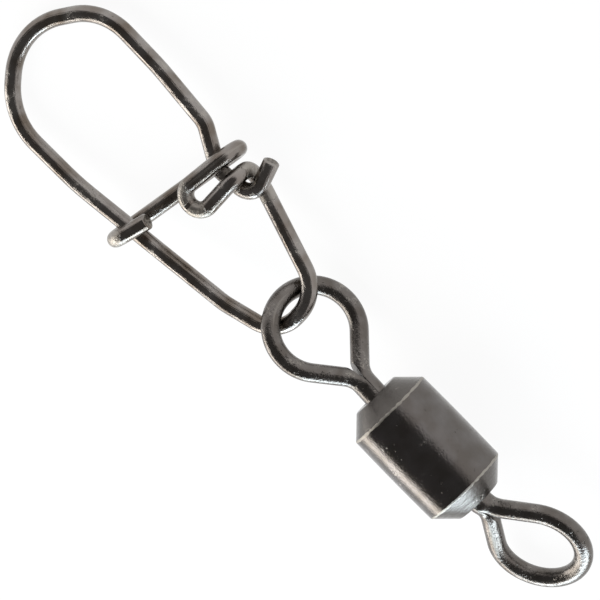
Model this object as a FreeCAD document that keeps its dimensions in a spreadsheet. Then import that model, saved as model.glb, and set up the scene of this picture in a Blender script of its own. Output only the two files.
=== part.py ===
import FreeCAD, Part
import math
import os
import Sketcher

# Fishing snap swivel.
# A turned barrel holds two wire eyes that spin in its necked ends, and a snap
# folded from one wire hangs in the eye on the left.
# Working frame: the barrel's axis is X, the line eye is on +X, Y is across the
# snap's width and Z is up from the surface that everything lies on.
# The finished part is shifted so that its origin is under its middle, on that surface.

V = FreeCAD.Vector
# Ends nearer than this, in millimetres, are one point
TOUCH = 1e-5

# Driving sizes, in millimetres and degrees
SIZES = [
    # Barrel
    ("barrel_dia", 3.80, "outside of the barrel"),
    ("barrel_flank", 4.28, "length of the straight middle"),
    ("shoulder_run", 0.82, "length of each sloping shoulder"),
    ("rim_dia", 2.08, "outside of the rims at the ends"),
    ("barrel_wall", 0.45, "wall of the barrel"),
    ("end_land", 0.22, "straight part of each end hole"),
    ("barrel_round", 0.10, "rounding where the flank meets a shoulder"),
    ("rim_round", 0.06, "rounding of the end rims"),
    # Eyes
    ("eye_wire", 0.78, "wire of both eyes"),
    ("shank_dia", 1.05, "two half-round legs side by side"),
    ("shank_play", 0.09, "gap all round a shank in its end hole"),
    ("shank_out", 0.51, "round shank outside the barrel, when the eye is pulled out"),
    ("shank_nose", 0.45, "taper where the legs turn from half round to round"),
    ("head_dia", 2.00, "upset head inside the barrel"),
    ("head_play", 0.06, "gap between a head and the shoulder it bears on"),
    ("neck_start", 0.09, "end of the round shank to the bend of the legs"),
    ("neck_angle", 42.5, "slope of the legs where they leave the shank"),
    ("neck_radius", 1.10, "bend of the legs at the shank, on the centre line"),
    ("ring_radius", 1.82, "centre line of the ring"),
    ("seam_width", 0.03, "joint between the two legs"),
    ("seam_out", 0.31, "end of the round shank to the root of the fork"),
    ("fork_root", 0.16, "gap between the legs at the root"),
    ("fork_mouth", 0.28, "gap between the legs where they open"),
    ("fork_length", 0.68, "root of the fork to where the legs open"),
    # How the eyes lie
    ("snap_eye_lean", 0.9, "lean of the snap's eye along the surface"),
    ("snap_eye_dip", 3.1, "how far the snap draws its eye down"),
    ("line_eye_spin", 19.0, "roll of the line eye"),
    ("line_eye_lean", 3.0, "lean of the line eye along the surface"),
    ("line_eye_slack", 0.42, "how far the line eye is pushed in"),
    ("floor_gap", 0.05, "clearance of the line eye over the surface"),
    # Snap: wire and lie
    ("snap_wire", 0.69, "wire of the snap"),
    ("layer_gap", 0.04, "gap between wires that lie on each other"),
    ("snap_roll", -0.9, "roll of the snap as it lies"),
    ("snap_turn", 2.5, "turn of the snap along the surface"),
    ("link_slack", 0.23, "free play between the snap and its eye"),
    ("link_side", -0.15, "small end off the middle of its eye"),
    ("link_gap", 0.13, "gap between the wires where they cross"),
    # Snap: small end, which hangs in the eye
    ("toe_low", 1.23, "small end, lower half width"),
    ("toe_high", 1.29, "small end, upper half width"),
    ("toe_bend", 1.53, "bend radius of the small end"),
    # Snap: long side and far loop
    ("side_start", 2.52, "small end to the start of the long side"),
    ("side_start_low", 1.95, "long side below the axis at its start"),
    ("side_bend", 3.0, "bend radius there"),
    ("side_end_share", 0.664, "bend in the long side, as a share of its length"),
    ("side_end_low", 2.94, "long side below the axis at that bend"),
    ("snap_length", 16.45, "small end to the corner at the tip of the far loop"),
    ("loop_tip_high", 0.16, "tip corner above the axis"),
    ("loop_tip_bend", 2.84, "bend radius of the tip"),
    ("loop_low_back", 2.20, "tip corner back to the lower corner"),
    ("loop_low_low", 3.00, "lower corner below the axis"),
    ("loop_low_bend", 2.85, "bend radius of the lower corner"),
    ("loop_high_back", 2.28, "tip corner back to the upper corner"),
    ("loop_high_up", 3.38, "upper corner above the axis"),
    ("loop_high_bend", 2.58, "bend radius of the upper corner"),
    ("limb_mid_share", 0.468, "gentle bend in the upper limb, as a share of its length"),
    ("limb_mid_up", 3.31, "that bend above the axis"),
    ("gentle_bend", 12.0, "bend radius of the nearly straight runs"),
    # Snap: lock, where the wire folds over its own upper limb
    ("lock", 5.49, "small end to the fold over the upper limb"),
    ("curl_root_step", 1.02, "fold forward to the root of the curled end"),
    ("curl_root_up", 2.22, "that corner above the axis"),
    ("curl_bend", 0.61, "bend radius of the curled end"),
    ("curl_lean", 0.47, "how far the curl leans back"),
    ("curl_rise", 1.70, "height of the curl over its root"),
    ("lock_in_step", 0.90, "fold back to where the upper limb enters the lock"),
    ("lock_in_drop", 0.21, "that corner below the curl's root"),
    ("lock_in_bend", 0.79, "bend radius there"),
    ("limb_slope", 1.61, "sloping run of the upper limb before the lock"),
    ("limb_drop_up", 3.04, "top of that run above the axis"),
    ("limb_drop_bend", 1.07, "bend radius there"),
    ("back_step", 1.18, "fold forward to where the wire is fully behind"),
    ("back_rise", 0.23, "that corner above the curl's root"),
    ("back_bend", 4.0, "bend radius there"),
    ("tongue_low", 0.38, "bottom of the U-shaped tongue, above the axis"),
    ("tongue_skew", 0.03, "sideways step of the tongue's near limb"),
    ("tongue_width", 1.26, "width of the tongue between centre lines"),
    ("tongue_bend", 0.56, "bend radius of the tongue"),
    ("tongue_lean", 0.45, "lean of the tongue's far limb"),
    ("tongue_top_up", 3.23, "fold at the tongue's tip, above the axis"),
    # Snap: hook over the long side
    ("bar_lean", 1.37, "lean of the bar across the snap"),
    ("hook_step", 0.16, "sideways step of the hook as it comes round"),
    ("hook_lean", 0.71, "lean of the hook's end"),
    ("hook_end_low", 1.48, "cut end of the hook, below the axis"),
]

# Sizes worked out from the driving ones
DERIVED = [
    ("shoulder_drop", "(barrel_dia - rim_dia) / 2", "how far a shoulder comes in"),
    ("slant", "sqrt(shoulder_run^2 + shoulder_drop^2)", "length of a shoulder along its slope"),
    ("barrel_end", "barrel_flank / 2 + shoulder_run", "barrel's middle to its end"),
    ("bore", "barrel_dia / 2 - barrel_wall", "inside radius"),
    ("end_hole", "shank_dia / 2 + shank_play", "radius of the end holes"),
    ("land", "barrel_end - end_land", "barrel's middle to the inner end of an end hole"),
    ("inner_flank", "land - (bore - end_hole) * shoulder_run / shoulder_drop",
     "barrel's middle to the end of the bore"),
    ("hole_middle", "(barrel_end + land) / 2", "barrel's middle to the middle of an end hole"),
    ("seated_head",
     "inner_flank + (bore * shoulder_run - (head_dia / 2 + head_play) * slant) / shoulder_drop",
     "barrel's middle to a head that bears on its shoulder"),
    ("shank_length", "barrel_end - seated_head + shank_out", "head centre to the end of the round shank"),
    ("leg_off", "(shank_dia - eye_wire) / 2", "centre line of a leg off the shank's axis"),
    ("neck_corner", "shank_length + neck_start + neck_radius * tan(neck_angle / 2)",
     "head centre to the legs' corner"),
    ("ring_reach",
     "neck_corner + (ring_radius * cos(neck_angle) - leg_off) / tan(neck_angle)"
     " + ring_radius * sin(neck_angle)",
     "head centre to ring centre"),
    ("seam_reach", "shank_length + seam_out", "head centre to the root of the fork"),
    ("fork_reach", "seam_reach + fork_length", "head centre to where the legs open"),
    ("pitch", "snap_wire + layer_gap", "distance between the centre lines of wires that lie on each other"),
    ("loop_low", "snap_length - loop_low_back", "small end to the lower corner of the far loop"),
    ("loop_high", "snap_length - loop_high_back", "small end to its upper corner"),
    ("side_end", "side_start + side_end_share * (loop_low - side_start)",
     "small end to the bend in the long side"),
    ("curl_root", "lock - curl_root_step", "small end to the root of the curled end"),
    ("curl_end", "curl_root + curl_lean", "small end to the cut end of the curl"),
    ("curl_end_up", "curl_root_up + curl_rise", "that end above the axis"),
    ("lock_in", "lock + lock_in_step", "small end to where the upper limb enters the lock"),
    ("lock_in_up", "curl_root_up - lock_in_drop", "that corner above the axis"),
    ("limb_drop", "lock_in + limb_slope", "small end to where the upper limb turns down"),
    ("limb_mid", "limb_drop + limb_mid_share * (loop_high - limb_drop)",
     "small end to the upper limb's gentle bend"),
    ("back_start", "lock - back_step", "small end to where the wire is fully behind"),
    ("back_start_up", "curl_root_up + back_rise", "that corner above the axis"),
    ("tongue_near", "lock + tongue_skew", "near limb of the tongue at the bottom"),
    ("tongue_far", "tongue_near + tongue_width", "far limb of the tongue at the bottom"),
    ("tongue_top", "tongue_far - tongue_lean", "fold at the tongue's tip"),
    ("hook", "tongue_top + bar_lean", "hook over the long side, behind it"),
    ("hook_front", "hook - hook_step", "the hook in front of the long side"),
    ("hook_end", "hook - hook_lean", "small end to the cut end of the hook"),
]


# The sheet of sizes
def size_sheet(doc):
    """Write the sizes into a sheet, one alias a row, and return it."""
    sheet = doc.addObject("Spreadsheet::Sheet", "Sizes")
    rows = [(alias, str(value), note) for alias, value, note in SIZES]
    rows += [(alias, f"={formula}", note) for alias, formula, note in DERIVED]
    for row, (alias, content, note) in enumerate(rows, start=1):
        sheet.set(f"A{row}", note)
        sheet.set(f"B{row}", content)
        sheet.setAlias(f"B{row}", alias)
        doc.recompute()
    return sheet


def read_sizes(sheet):
    """Return the sheet's values by name."""
    return {alias: float(sheet.get(alias)) for alias, _, _ in SIZES + DERIVED}


# Sketch helpers
def origin_plane(body, role):
    """Return one of a body's own origin planes or axes."""
    return next(item for item in body.Origin.OriginFeatures if item.Role == role)


def new_sketch(body, name, role):
    """Start a sketch on one of a body's origin planes."""
    sketch = body.newObject("Sketcher::SketchObject", name)
    sketch.AttachmentSupport = [(origin_plane(body, role), "")]
    sketch.MapMode = "FlatFace"
    return sketch


def bound(sketch, constraint, formula):
    """Add a constraint whose value follows the sheet."""
    number = sketch.addConstraint(constraint)
    sketch.setExpression(f"Constraints[{number}]", formula)


def outline(body, name, role, corners):
    """Draw a closed outline whose corners are formulas of the sheet."""
    sketch = new_sketch(body, name, role)
    count = len(corners)
    step = 2 * math.pi / count
    rough = [V(math.cos(step * k), math.sin(step * k), 0) for k in range(count)]
    for index in range(count):
        sketch.addGeometry(Part.LineSegment(rough[index], rough[(index + 1) % count]), False)
    for index in range(count):
        sketch.addConstraint(Sketcher.Constraint("Coincident", index, 2, (index + 1) % count, 1))
    for index, (along, across) in enumerate(corners):
        for kind, axis, formula, start in (
            ("DistanceX", -2, along, rough[index].x),
            ("DistanceY", -1, across, rough[index].y),
        ):
            if formula == "0":
                sketch.addConstraint(Sketcher.Constraint("PointOnObject", index, 1, axis))
            else:
                bound(sketch, Sketcher.Constraint(kind, -1, 1, index, 1, start), formula)
    return sketch


# Barrel
def rounded_edges(body, feature, name, alias, radius):
    """Round both of the barrel's outer circles of one radius."""
    circles = [f"Edge{number}" for number, edge in enumerate(feature.Shape.Edges, start=1)
               if isinstance(edge.Curve, Part.Circle) and abs(edge.Curve.Radius - radius) < TOUCH]
    fillet = body.newObject("PartDesign::Fillet", name)
    fillet.Base = (feature, circles)
    fillet.setExpression("Radius", f"Sizes.{alias}")
    body.Tip = fillet
    body.Document.recompute()
    return fillet


def make_barrel(doc, size):
    """One turned tube, necked in at both ends around its end holes."""
    body = doc.addObject("PartDesign::Body", "barrel")
    half = [
        ("Sizes.barrel_end", "Sizes.end_hole"),
        ("Sizes.barrel_end", "Sizes.rim_dia / 2"),
        ("Sizes.barrel_flank / 2", "Sizes.barrel_dia / 2"),
    ]
    inner = [
        ("Sizes.inner_flank", "Sizes.bore"),
        ("Sizes.land", "Sizes.end_hole"),
    ]
    outer_left = [(f"-{x}", y) for x, y in reversed(half)]
    inner_left = [(f"-{x}", y) for x, y in reversed(inner)]
    profile = outline(body, "barrel_profile", "XY_Plane", half + outer_left + inner_left + inner)
    turned = body.newObject("PartDesign::Revolution", "turned_tube")
    turned.Profile = profile
    turned.ReferenceAxis = (profile, ["H_Axis"])
    turned.Angle = 360
    doc.recompute()
    flank_round = rounded_edges(body, turned, "flank_round", "barrel_round", size["barrel_dia"] / 2)
    body.Tip = rounded_edges(body, flank_round, "rim_round", "rim_round", size["rim_dia"] / 2)
    return body


# Eyes
def eye_spine(body, size):
    """Centre line of half an eye: leg, neck bend, sloping leg, half of the ring."""
    sketch = new_sketch(body, "eye_spine", "XY_Plane")
    slope = math.radians(size["neck_angle"])
    ring = size["ring_radius"]
    leg_off = size["leg_off"]
    top = V(size["ring_reach"] - ring * math.sin(slope), ring * math.cos(slope), 0)
    reach = size["neck_radius"] * math.tan(slope / 2)
    leg_end = V(size["neck_corner"] - reach, leg_off, 0)
    bend_end = V(size["neck_corner"] + reach * math.cos(slope), leg_off + reach * math.sin(slope), 0)
    bend_centre = V(leg_end.x, leg_off + size["neck_radius"], 0)
    up = V(0, 0, 1)
    leg = Part.LineSegment(V(0, leg_off, 0), leg_end)
    bend = Part.ArcOfCircle(
        Part.Circle(bend_centre, up, size["neck_radius"]), -math.pi / 2, slope - math.pi / 2)
    slant = Part.LineSegment(bend_end, top)
    arch = Part.ArcOfCircle(
        Part.Circle(V(size["ring_reach"], 0, 0), up, ring), 0, math.pi / 2 + slope)
    for piece in (leg, bend, slant, arch):
        sketch.addGeometry(piece, False)
    sketch.addConstraint(Sketcher.Constraint("Tangent", 0, 2, 1, 1))
    sketch.addConstraint(Sketcher.Constraint("Tangent", 1, 2, 2, 1))
    sketch.addConstraint(Sketcher.Constraint("Tangent", 2, 2, 3, 2))
    sketch.addConstraint(Sketcher.Constraint("Horizontal", 0))
    sketch.addConstraint(Sketcher.Constraint("PointOnObject", 0, 1, -2))
    sketch.addConstraint(Sketcher.Constraint("PointOnObject", 3, 3, -1))
    sketch.addConstraint(Sketcher.Constraint("PointOnObject", 3, 1, -1))
    bound(sketch, Sketcher.Constraint("DistanceY", -1, 1, 0, 1, leg_off), "Sizes.leg_off")
    bound(sketch, Sketcher.Constraint("Radius", 1, size["neck_radius"]), "Sizes.neck_radius")
    bound(sketch, Sketcher.Constraint("Radius", 3, ring), "Sizes.ring_radius")
    bound(sketch, Sketcher.Constraint("DistanceX", -1, 1, 3, 3, size["ring_reach"]), "Sizes.ring_reach")
    bound(sketch, Sketcher.Constraint("Angle", -1, 1, 2, 1, slope), "Sizes.neck_angle * 1 deg")
    return sketch


def make_eye(doc, name, size):
    """One wire: a round ring, two legs pressed into a split shank, and an upset head."""
    body = doc.addObject("PartDesign::Body", name)
    shank_profile = outline(body, "shank_profile", "XY_Plane", [
        ("0", "0"),
        ("Sizes.shank_length + Sizes.shank_nose", "0"),
        ("Sizes.shank_length + Sizes.shank_nose", "Sizes.eye_wire / 2"),
        ("Sizes.shank_length", "Sizes.shank_dia / 2"),
        ("0", "Sizes.shank_dia / 2"),
    ])
    shank = body.newObject("PartDesign::Revolution", "shank")
    shank.Profile = shank_profile
    shank.ReferenceAxis = (shank_profile, ["H_Axis"])
    shank.Angle = 360

    head = body.newObject("PartDesign::AdditiveSphere", "head")
    head.setExpression("Radius", "Sizes.head_dia / 2")

    spine = eye_spine(body, size)
    section = new_sketch(body, "wire_section", "YZ_Plane")
    section.addGeometry(Part.Circle(V(size["leg_off"], 0, 0), V(0, 0, 1), size["eye_wire"] / 2), False)
    section.addConstraint(Sketcher.Constraint("PointOnObject", 0, 3, -1))
    bound(section, Sketcher.Constraint("DistanceX", -1, 1, 0, 3, size["leg_off"]), "Sizes.leg_off")
    bound(section, Sketcher.Constraint("Radius", 0, size["eye_wire"] / 2), "Sizes.eye_wire / 2")
    doc.recompute()
    leg = body.newObject("PartDesign::AdditivePipe", "leg")
    leg.Profile = section
    leg.Spine = (spine, [f"Edge{k}" for k in range(1, 5)])
    body.Tip = leg
    doc.recompute()

    other_leg = body.newObject("PartDesign::Mirrored", "other_leg")
    other_leg.Originals = [leg]
    other_leg.MirrorPlane = (origin_plane(body, "XZ_Plane"), [""])
    body.Tip = other_leg
    doc.recompute()

    split = outline(body, "split", "XY_Plane", [
        ("Sizes.head_dia / 2", "Sizes.seam_width / 2"),
        ("Sizes.seam_reach", "Sizes.seam_width / 2"),
        ("Sizes.seam_reach", "Sizes.fork_root / 2"),
        ("Sizes.fork_reach", "Sizes.fork_mouth / 2"),
        ("Sizes.fork_reach", "-Sizes.fork_mouth / 2"),
        ("Sizes.seam_reach", "-Sizes.fork_root / 2"),
        ("Sizes.seam_reach", "-Sizes.seam_width / 2"),
        ("Sizes.head_dia / 2", "-Sizes.seam_width / 2"),
    ])
    fork = body.newObject("PartDesign::Pocket", "fork")
    fork.Profile = split
    fork.SideType = "Symmetric"
    fork.Type = "Length"
    fork.setExpression("Length", "Sizes.shank_dia * 2")
    body.Tip = fork
    return body


def frame_from(axis, across, origin):
    """Placement whose X runs along axis and whose Y lies as near as it can to across."""
    axis = V(axis).normalize()
    across = (across - axis * across.dot(axis)).normalize()
    normal = axis.cross(across)
    return FreeCAD.Placement(FreeCAD.Matrix(
        axis.x, across.x, normal.x, origin.x,
        axis.y, across.y, normal.y, origin.y,
        axis.z, across.z, normal.z, origin.z,
        0, 0, 0, 1))


def eye_placement(size, side, spin, lean, dip, slack):
    """Where an eye lies: it leans about the middle of its end hole."""
    pivot = size["hole_middle"]
    inside = pivot - (size["seated_head"] - slack)
    axis = V(side, math.tan(math.radians(lean)), math.tan(math.radians(dip))).normalize()
    across = V(0, math.cos(math.radians(spin)), math.sin(math.radians(spin)))
    return frame_from(axis, across, V(side * pivot, 0, 0) - axis * inside)


def snap_eye_placement(size):
    """The snap's eye is pulled out until its head bears, and turns until the snap lies flat in it."""
    toe_half = (size["toe_low"] + size["toe_high"]) / 2
    crossing = (size["eye_wire"] + size["snap_wire"]) / 2 + size["link_gap"]
    spin = size["snap_roll"] - math.degrees(math.asin(crossing / toe_half))
    return eye_placement(size, -1, spin, size["snap_eye_lean"], -size["snap_eye_dip"], 0)


def line_eye_placement(size):
    """The line eye is pushed in, and dips until its ring is just over the surface."""
    ring = size["ring_radius"]
    slope = math.sin(math.radians(size["line_eye_spin"]))
    inside = size["hole_middle"] - size["seated_head"] + size["line_eye_slack"]
    arm = size["ring_reach"] - inside
    drop = (size["barrel_dia"] - size["eye_wire"]) / 2 - size["floor_gap"]
    # The ring's lowest point is arm * fall + ring * sqrt(fall^2 + slope^2 * (1 - fall^2)) under the
    # barrel's axis. Set equal to drop, that is a quadratic in fall.
    square = arm ** 2 - (1 - slope ** 2) * ring ** 2
    level = drop ** 2 - (slope * ring) ** 2
    fall = (drop * arm - math.sqrt((drop * arm) ** 2 - square * level)) / square
    dip = -math.degrees(math.asin(fall))
    return eye_placement(size, 1, size["line_eye_spin"], size["line_eye_lean"], dip, size["line_eye_slack"])


# Snap
def long_side_low(size, along):
    """How far the long side is below the axis at a distance from the small end."""
    share = (along - size["side_start"]) / (size["side_end"] - size["side_start"])
    return size["side_start_low"] + share * (size["side_end_low"] - size["side_start_low"])


def upper_limb_up(size, along):
    """How far the upper limb is above the axis inside the lock."""
    share = (along - size["curl_root"]) / (size["lock_in"] - size["curl_root"])
    return size["curl_root_up"] + share * (size["lock_in_up"] - size["curl_root_up"])


def snap_route(size):
    """Corners of the snap's centre line and their bend radii.

    X runs from the far loop to the small end, whose outside is at zero.
    Y is across the snap, and Z is the layer: front wires are one pitch up.
    """
    front = size["pitch"]
    back = -front
    fold_up = upper_limb_up(size, size["lock"]) + front
    hook_low = long_side_low(size, size["hook"]) + front
    return [
        # Curled end that rides in front of the wire to the small end
        (V(-size["curl_end"], size["curl_end_up"], size["layer_gap"]), 0),
        (V(-size["curl_root"], size["curl_root_up"], 0), size["curl_bend"]),
        # Upper limb and far loop
        (V(-size["lock_in"], size["lock_in_up"], 0), size["lock_in_bend"]),
        (V(-size["limb_drop"], size["limb_drop_up"], 0), size["limb_drop_bend"]),
        (V(-size["limb_mid"], size["limb_mid_up"], 0), size["gentle_bend"]),
        (V(-size["loop_high"], size["loop_high_up"], 0), size["loop_high_bend"]),
        (V(-size["snap_length"], size["loop_tip_high"], 0), size["loop_tip_bend"]),
        (V(-size["loop_low"], -size["loop_low_low"], 0), size["loop_low_bend"]),
        # Long side and small end
        (V(-size["side_end"], -size["side_end_low"], 0), size["gentle_bend"]),
        (V(-size["side_start"], -size["side_start_low"], 0), size["side_bend"]),
        (V(0, -size["toe_low"], 0), size["toe_bend"]),
        (V(0, size["toe_high"], 0), size["toe_bend"]),
        (V(-size["back_start"], size["back_start_up"], back), size["back_bend"]),
        # Fold over the upper limb, from behind to the front
        (V(-size["lock"], fold_up, back), front),
        (V(-size["lock"], fold_up, front), front),
        # U-shaped tongue in front
        (V(-size["tongue_near"], size["tongue_low"], front), size["tongue_bend"]),
        (V(-size["tongue_far"], size["tongue_low"], front), size["tongue_bend"]),
        # Fold at its tip, from the front to behind, and the bar across the snap
        (V(-size["tongue_top"], size["tongue_top_up"], front), front),
        (V(-size["tongue_top"], size["tongue_top_up"], back), front),
        # Hook round the long side, open at the front
        (V(-size["hook"], -hook_low, back), front),
        (V(-size["hook_front"], -hook_low, front), front),
        (V(-size["hook_end"], -size["hook_end_low"], front), 0),
    ]


def turn_at(before, corner, after):
    """Angle by which the wire turns at a corner, in radians."""
    return (corner - before).getAngle(after - corner)


def held_bends(route):
    """Bend radii, limited where two neighbours would need more wire than the run between them has."""
    places = [place for place, _ in route]
    tangents = [0]
    for before, corner, after in zip(places, places[1:], places[2:]):
        tangents.append(math.tan(turn_at(before, corner, after) / 2))
    tangents.append(0)
    reach = [radius * tangent for (_, radius), tangent in zip(route, tangents)]
    limit = [1.0] * len(route)
    for index in range(len(route) - 1):
        run = (places[index + 1] - places[index]).Length
        share = min(1.0, run / (reach[index] + reach[index + 1]))
        limit[index] = min(limit[index], share)
        limit[index + 1] = min(limit[index + 1], share)
    return [radius * share for (_, radius), share in zip(route, limit)]


def bent_wire(route):
    """Straight runs joined by tangent arcs."""
    places = [place for place, _ in route]
    edges = []
    start = places[0]
    for before, corner, after, radius in zip(places, places[1:], places[2:], held_bends(route)[1:]):
        arriving = (corner - before).normalize()
        leaving = (after - corner).normalize()
        half_turn = turn_at(before, corner, after) / 2
        reach = radius * math.tan(half_turn)
        arc_start = corner - arriving * reach
        arc_end = corner + leaving * reach
        inward = (leaving - arriving).normalize()
        middle = corner + inward * (radius / math.cos(half_turn) - radius)
        if (arc_start - start).Length > TOUCH:
            edges.append(Part.makeLine(start, arc_start))
        else:
            arc_start = start
        edges.append(Part.Arc(arc_start, middle, arc_end).toShape())
        start = arc_end
    edges.append(Part.makeLine(start, places[-1]))
    return Part.Wire(edges)


def make_snap(doc, size):
    """One wire, swept along its whole bent centre line."""
    route = snap_route(size)
    spine = doc.addObject("Part::Feature", "snap_spine")
    spine.Shape = bent_wire(route)
    section = doc.addObject("Part::Circle", "snap_section")
    section.setExpression("Radius", "Sizes.snap_wire / 2")
    first = (route[1][0] - route[0][0]).normalize()
    section.Placement = FreeCAD.Placement(route[0][0], FreeCAD.Rotation(V(0, 0, 1), first))
    snap = doc.addObject("Part::Sweep", "snap")
    snap.Sections = [section]
    snap.Spine = (spine, [f"Edge{k}" for k in range(1, len(spine.Shape.Edges) + 1)])
    snap.Solid = True
    snap.Frenet = False
    return snap


def snap_placement(size):
    """The snap's small end hangs in its eye, and its far loop rests on the surface."""
    inset = (size["eye_wire"] + size["snap_wire"]) / 2 + size["link_slack"]
    reach = size["ring_reach"] + size["ring_radius"] - inset
    origin = snap_eye_placement(size).multVec(V(reach, size["link_side"], 0))
    far_reach = -bent_wire(snap_route(size)).BoundBox.XMin
    fall = origin.z + (size["barrel_dia"] - size["snap_wire"]) / 2
    droop = math.degrees(math.asin(fall / far_reach))
    turn = FreeCAD.Rotation(V(0, 0, 1), size["snap_turn"])
    turn = turn.multiply(FreeCAD.Rotation(V(0, 1, 0), -droop))
    turn = turn.multiply(FreeCAD.Rotation(V(1, 0, 0), size["snap_roll"]))
    return FreeCAD.Placement(origin, turn)


# Assembly
def rest_shift(pieces):
    """Move that puts the origin under the middle of the part, on its surface."""
    box = FreeCAD.BoundBox()
    for piece in pieces:
        box.add(piece.Shape.optimalBoundingBox(False, False))
    return V(-box.Center.x, -box.Center.y, -box.ZMin)


def check_document(doc, pieces):
    """Stop if any object failed or any piece isn't one valid solid."""
    for item in doc.Objects:
        if "Invalid" in item.State or "Error" in item.State:
            raise RuntimeError(f"{item.Name} failed: {item.State}")
    for piece in pieces:
        shape = piece.Shape
        if shape.isNull() or not shape.isValid() or len(shape.Solids) != 1:
            raise RuntimeError(f"{piece.Label} isn't one valid solid")


def build():
    """Make the document with its four pieces in their places."""
    doc = FreeCAD.newDocument("snap_swivel")
    sheet = size_sheet(doc)
    size = read_sizes(sheet)
    barrel = make_barrel(doc, size)
    line_eye = make_eye(doc, "line_eye", size)
    snap_eye = make_eye(doc, "snap_eye", size)
    snap = make_snap(doc, size)
    doc.recompute()
    pieces = [barrel, line_eye, snap_eye, snap]
    check_document(doc, pieces)
    line_eye.Placement = line_eye_placement(size)
    snap_eye.Placement = snap_eye_placement(size)
    snap.Placement = snap_placement(size)
    doc.recompute()
    shift = FreeCAD.Placement(rest_shift(pieces), FreeCAD.Rotation())
    for piece in pieces:
        piece.Placement = shift.multiply(piece.Placement)
    doc.recompute()
    return doc, pieces, size, shift


def main():
    """Build the part and write one file a piece."""
    doc, pieces, size, shift = build()
    check_document(doc, pieces)
    os.makedirs("parts", exist_ok=True)
    for piece in pieces:
        piece.Shape.exportStep(f"parts/{piece.Label}.step")
        box = piece.Shape.optimalBoundingBox(False, False)
        print(f"{piece.Label}: {piece.Shape.Volume:.3f} cubic mm,"
              f" x {box.XMin:.2f} to {box.XMax:.2f}, y {box.YMin:.2f} to {box.YMax:.2f},"
              f" z {box.ZMin:.2f} to {box.ZMax:.2f}")
    print("origin shift", shift.Base)


if __name__ == "__main__":
    main()
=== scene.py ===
# %% [markdown]
# # A fishing snap swivel
# A swivel lets a lure spin without twisting the line. A turned barrel holds two wire eyes, whose
# legs are pressed together and end in heads inside it, and a snap folded from one wire hangs in one
# of them. All of it is black nickel on brass or steel, and barely 32 mm long.
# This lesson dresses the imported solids: each one is modelled again with finer shapes, in its own
# place, and gets a metal finish that follows how it was made.

# %% Load the frame
import math

import bpy
from mathutils import Matrix, Vector


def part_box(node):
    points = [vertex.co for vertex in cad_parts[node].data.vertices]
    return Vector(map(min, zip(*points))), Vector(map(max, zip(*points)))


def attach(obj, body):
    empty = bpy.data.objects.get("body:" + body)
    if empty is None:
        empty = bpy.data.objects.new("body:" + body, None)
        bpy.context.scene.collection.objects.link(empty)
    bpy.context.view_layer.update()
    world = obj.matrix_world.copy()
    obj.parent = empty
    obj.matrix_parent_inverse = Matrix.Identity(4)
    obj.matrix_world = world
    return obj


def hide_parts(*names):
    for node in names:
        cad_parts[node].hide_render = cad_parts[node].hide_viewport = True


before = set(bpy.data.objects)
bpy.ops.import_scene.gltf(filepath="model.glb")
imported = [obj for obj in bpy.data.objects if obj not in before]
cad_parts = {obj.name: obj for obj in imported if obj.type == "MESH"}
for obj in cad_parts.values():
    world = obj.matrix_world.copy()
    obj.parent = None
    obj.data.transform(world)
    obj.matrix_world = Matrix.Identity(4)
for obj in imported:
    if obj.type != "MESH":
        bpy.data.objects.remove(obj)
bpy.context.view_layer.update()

MM = 0.001
TOUCH = 0.001       # millimetres: points nearer than this count as one
FACE_ON = 0.9       # cosine: a face turned less than about 25 degrees away faces this way
print("packed nodes:", sorted(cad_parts))

# %% [markdown]
# ## The sizes
# Every length is a size that could be measured on the real thing, in millimetres or degrees. They
# are the sizes of the solids, so each new piece falls in its solid's place without being fitted.

# %% Sizes of the barrel and the eyes
BARREL = dict(dia=3.80, flank=4.28, shoulder=0.82, rim_dia=2.08, wall=0.45, land=0.22)
EYE = dict(
    wire=0.78, shank_dia=1.05, play=0.09, out=0.51, head_dia=2.00, head_play=0.06,
    neck_start=0.09, neck_angle=42.5, neck_radius=1.10, ring_radius=1.82,
    seam=0.03, seam_out=0.31, fork_mouth=0.28, fork_length=0.68)
SNAP_EYE_LIE = dict(lean=0.9, dip=3.1)
LINE_EYE_LIE = dict(spin=19.0, lean=3.0, slack=0.42, floor_gap=0.05)

end = BARREL["flank"] / 2 + BARREL["shoulder"]
bore = BARREL["dia"] / 2 - BARREL["wall"]
end_hole = EYE["shank_dia"] / 2 + EYE["play"]
land = end - BARREL["land"]
drop = (BARREL["dia"] - BARREL["rim_dia"]) / 2
inner_flank = land - (bore - end_hole) * BARREL["shoulder"] / drop
slant = math.hypot(BARREL["shoulder"], drop)
seated = inner_flank + (
    bore * BARREL["shoulder"] - (EYE["head_dia"] / 2 + EYE["head_play"]) * slant) / drop
shank = end - seated + EYE["out"]
slope = math.radians(EYE["neck_angle"])
leg_off = (EYE["shank_dia"] - EYE["wire"]) / 2
corner = shank + EYE["neck_start"] + EYE["neck_radius"] * math.tan(slope / 2)
ring_reach = (
    corner + (EYE["ring_radius"] * math.cos(slope) - leg_off) / math.tan(slope)
    + EYE["ring_radius"] * math.sin(slope))
hole_middle = (end + land) / 2
print("head to ring", round(ring_reach, 3), "mm, barrel", round(2 * end, 2), "mm long")

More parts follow.
